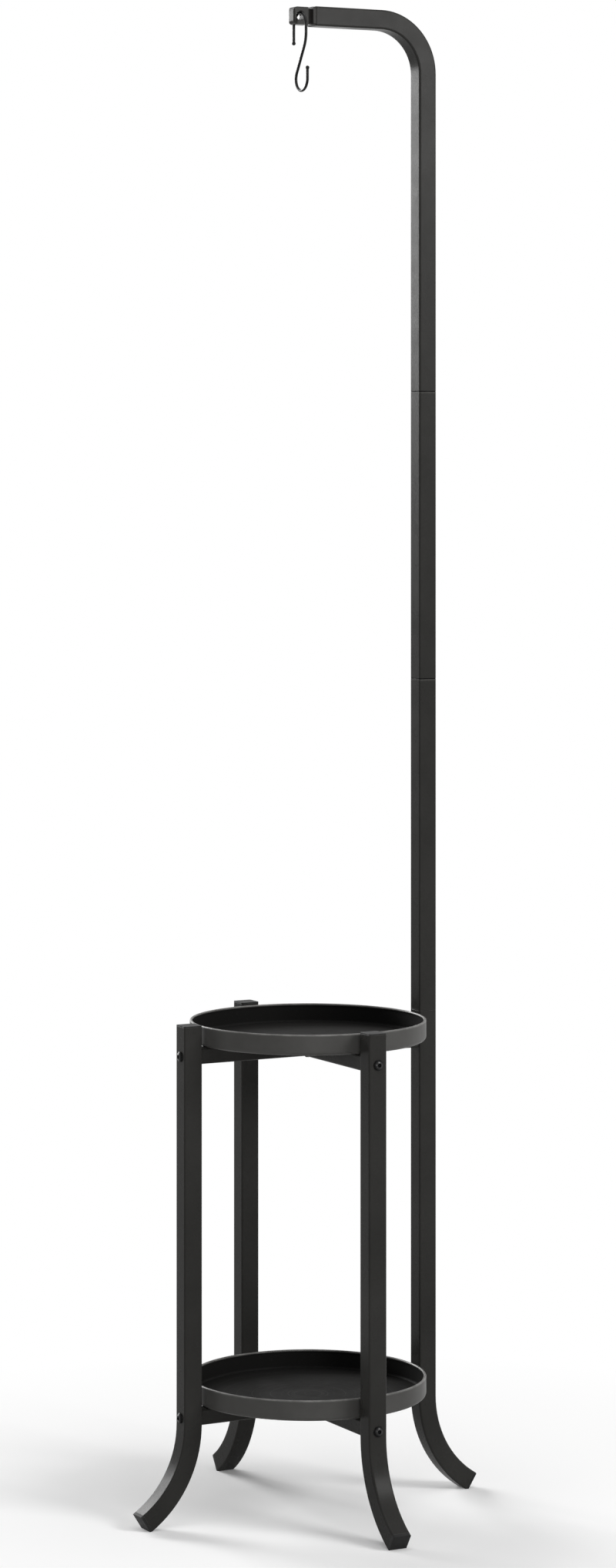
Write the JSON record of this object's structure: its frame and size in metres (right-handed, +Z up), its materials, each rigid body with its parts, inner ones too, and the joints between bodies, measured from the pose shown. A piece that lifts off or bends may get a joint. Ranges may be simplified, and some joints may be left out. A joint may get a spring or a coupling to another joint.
{
  "type": "hanging plant stand",
  "caption": "Floor stand with splayed tube legs, round lift-out trays on cross bars, and a tall pole whose curved arm carries a swinging S-hook.",
  "frame": {"origin": "on the floor, on the common axis of the two trays and the centre of the leg square", "axes": "+Z up along the pole; +X from the tray axis to the pole leg, so the arm reaches back along -X; -Y to the front leg"},
  "size_m": [0.39, 0.39, 1.537],
  "materials": {
    "frame": "satin powder coat",
    "trays": "satin powder coat",
    "plugs": "matte",
    "bolts": "black oxide, satin",
    "hook": "satin",
    "steel": "plain zinc plate"
  },
  "bodies": {
    "stand": {"leg_left": "frame", "leg_front": "frame", "leg_back": "frame", "leg_pole": "frame", "foot_plug_left": "plugs", "foot_plug_front": "plugs", "foot_plug_back": "plugs", "foot_plug_pole": "plugs", "top_plug_left": "plugs", "top_plug_front": "plugs", "top_plug_back": "plugs", "lower_long_bar": "frame", "lower_front_bar": "frame", "lower_back_bar": "frame", "upper_long_bar": "frame", "upper_front_bar": "frame", "upper_back_bar": "frame", "lower_inserts": "steel", "upper_inserts": "steel", "lower_bolts": "bolts", "upper_bolts": "bolts", "flush_bolt": "bolts", "pole_lower": "frame", "pole_middle": "frame", "pole_arm": "frame", "pole_sleeve_lower": "steel", "pole_sleeve_middle": "steel", "pole_sleeve_upper": "steel", "arm_fitting": "frame"},
    "lower_tray": {"lower_tray": "trays"},
    "upper_tray": {"upper_tray": "trays"},
    "hook": {"s_hook": "hook"}
  },
  "joints": [
    {"name": "lower_tray_lift", "type": "slide", "parent": "stand", "child": "lower_tray", "axis": [0, 0, 1], "range_m": [0, 0.3]},
    {"name": "upper_tray_lift", "type": "slide", "parent": "stand", "child": "upper_tray", "axis": [0, 0, 1], "range_m": [0, 0.12]},
    {"name": "hook_swing", "type": "hinge", "parent": "stand", "child": "hook", "pos_m": [-0.0116, 0, 1.527], "axis": [0, 1, 0], "range_deg": [-40, 60]}
  ]
}
